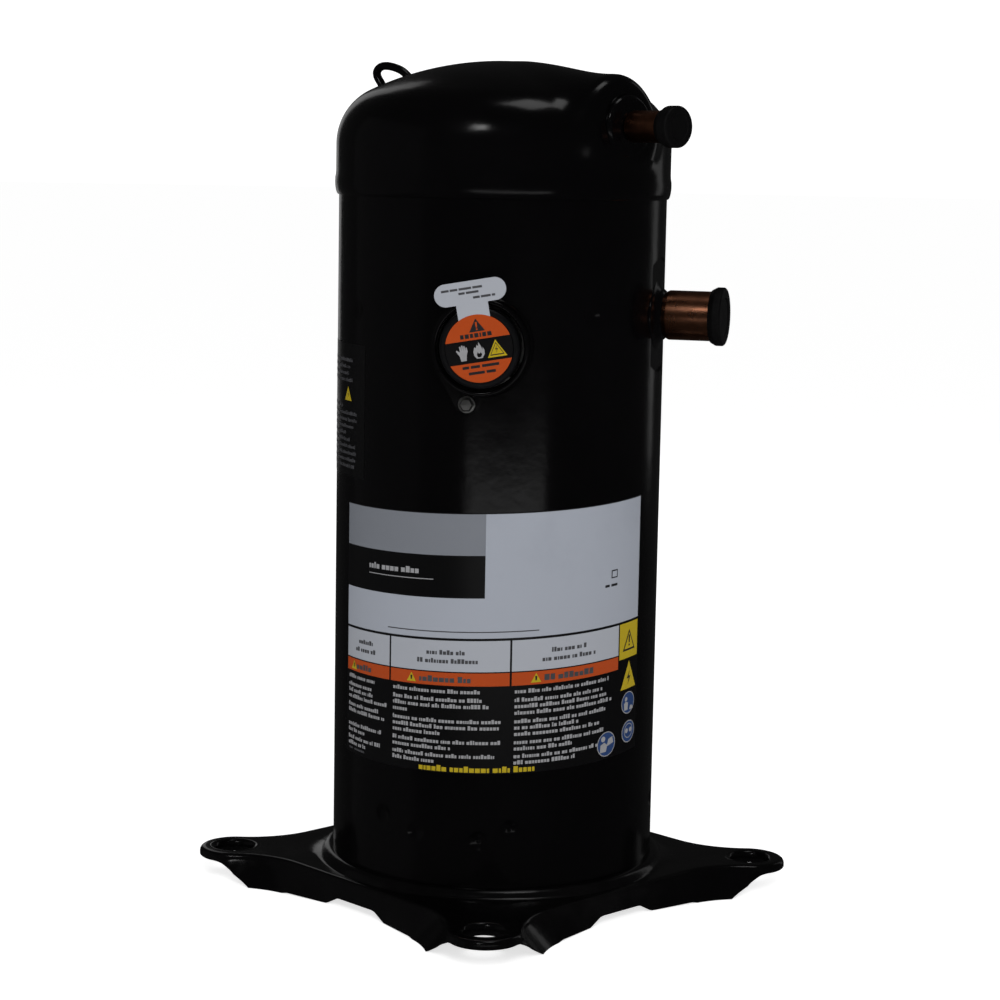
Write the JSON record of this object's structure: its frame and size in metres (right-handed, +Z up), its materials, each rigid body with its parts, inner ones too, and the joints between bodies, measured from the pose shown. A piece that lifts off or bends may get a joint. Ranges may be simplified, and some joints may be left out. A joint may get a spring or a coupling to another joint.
{
  "type": "scroll compressor",
  "caption": "Upright hermetic scroll compressor: tall domed black shell on a square four-hole base, copper suction and discharge stubs, round terminal cover and printed labels.",
  "frame": {"origin": "centre of the square of four mounting holes, in the plane the base skirts rest on", "axes": "+Z up along the shaft and shell; +X towards the discharge stub; the sides of the base plate are parallel to X and Y"},
  "size_m": [0.2314, 0.2264, 0.422],
  "materials": {
    "black_paint": "semi-gloss black paint",
    "copper": "bright copper",
    "black_rubber": "matt",
    "black_plastic": "matt",
    "printed_label": "printed film",
    "steel": "machined",
    "cast_iron": "machined casting",
    "bronze": "bearing bronze",
    "aluminium": "cast",
    "lamination": "stacked sheet",
    "winding": "varnished wire",
    "insulation": "film",
    "glass": "fused glass",
    "seal": "filled seal plastic",
    "red_plastic": "moulded"
  },
  "bodies": {
    "shell": {"shell_tube": "black_paint", "top_cap": "black_paint", "bottom_cap": "black_paint", "base_plate": "black_paint", "lifting_eye": "black_paint", "partition_plate": "steel", "suction_boss": "black_paint", "suction_stub": "copper", "discharge_boss": "black_paint", "discharge_stub": "copper", "terminal_body": "steel", "terminal_pins": "steel", "terminal_glass": "glass", "terminal_fence": "black_paint", "ground_bracket": "black_paint", "ground_screw": "steel", "main_label": "printed_label", "side_label": "printed_label", "suction_baffle": "steel", "bearing_housing": "cast_iron", "main_bush": "bronze", "thrust_plate": "steel", "scroll_bolts": "steel", "bolt_sleeves": "steel", "valve_retainer": "steel", "relief_valve_body": "bronze", "relief_valve_spring": "steel", "thermal_disc": "steel", "stator_core": "lamination", "stator_winding": "winding", "slot_liners": "insulation", "overload_protector": "black_plastic", "lead_wires": "insulation", "inner_connector": "red_plastic", "lower_bracket": "cast_iron", "lower_bush": "bronze", "thrust_washer": "steel", "sump_magnet": "cast_iron"},
    "shaft": {"crankshaft": "steel", "upper_counterweight": "steel", "lower_counterweight": "bronze", "rotor_core": "lamination", "rotor_cage": "aluminium", "oil_tube": "steel"},
    "drive_bush": {"drive_bush": "bronze"},
    "orbiting_scroll": {"orbiting_scroll": "cast_iron", "hub_bush": "bronze"},
    "oldham_ring": {"oldham_ring": "aluminium"},
    "fixed_scroll": {"fixed_scroll": "cast_iron"},
    "floating_seal": {"floating_seal": "seal", "seal_rings": "seal"},
    "valve_disc": {"valve_disc": "steel"},
    "relief_ball": {"relief_valve_ball": "steel"},
    "suction_cap": {"suction_stub_cap": "black_rubber"},
    "discharge_cap": {"discharge_stub_cap": "black_rubber"},
    "terminal_cover": {"terminal_cover": "black_plastic", "cover_label": "printed_label"}
  },
  "joints": [
    {"name": "shaft_spin", "type": "hinge", "parent": "shell", "child": "shaft", "pos_m": [0, 0, 0.15], "axis": [0, 0, 1], "continuous": true},
    {"name": "radial_compliance", "type": "slide", "parent": "shaft", "child": "drive_bush", "axis": [0, 1, 0], "range_m": [-0.0005, 0.00015]},
    {"name": "orbit_hinge", "type": "hinge", "parent": "drive_bush", "child": "orbiting_scroll", "pos_m": [0, 0.0052, 0.289], "axis": [0, 0, 1], "continuous": true},
    {"name": "oldham_slide", "type": "slide", "parent": "shell", "child": "oldham_ring", "axis": [1, 0, 0], "range_m": [-0.0052, 0.0052]},
    {"name": "fixed_scroll_lift", "type": "slide", "parent": "shell", "child": "fixed_scroll", "axis": [0, 0, 1], "range_m": [0, 0.001]},
    {"name": "floating_seal_lift", "type": "slide", "parent": "shell", "child": "floating_seal", "axis": [0, 0, 1], "range_m": [0, 0.001]},
    {"name": "valve_disc_lift", "type": "slide", "parent": "shell", "child": "valve_disc", "axis": [0, 0, 1], "range_m": [0, 0.003]},
    {"name": "relief_valve_open", "type": "slide", "parent": "shell", "child": "relief_ball", "axis": [0, 0, -1], "range_m": [0, 0.0015], "stiffness_N_per_m": 1500, "springref_m": -0.001, "deforming": ["relief_valve_spring"]},
    {"name": "suction_cap_pull", "type": "slide", "parent": "shell", "child": "suction_cap", "axis": [0.866, 0.5, 0], "range_m": [0, 0.08]},
    {"name": "discharge_cap_pull", "type": "slide", "parent": "shell", "child": "discharge_cap", "axis": [1, 0, 0], "range_m": [0, 0.08]},
    {"name": "terminal_cover_pull", "type": "slide", "parent": "shell", "child": "terminal_cover", "axis": [0.6428, -0.766, 0], "range_m": [0, 0.04]}
  ],
  "couplings": [
    {"joint": "orbit_hinge", "follows": "shaft_spin", "ratio": -1}
  ]
}
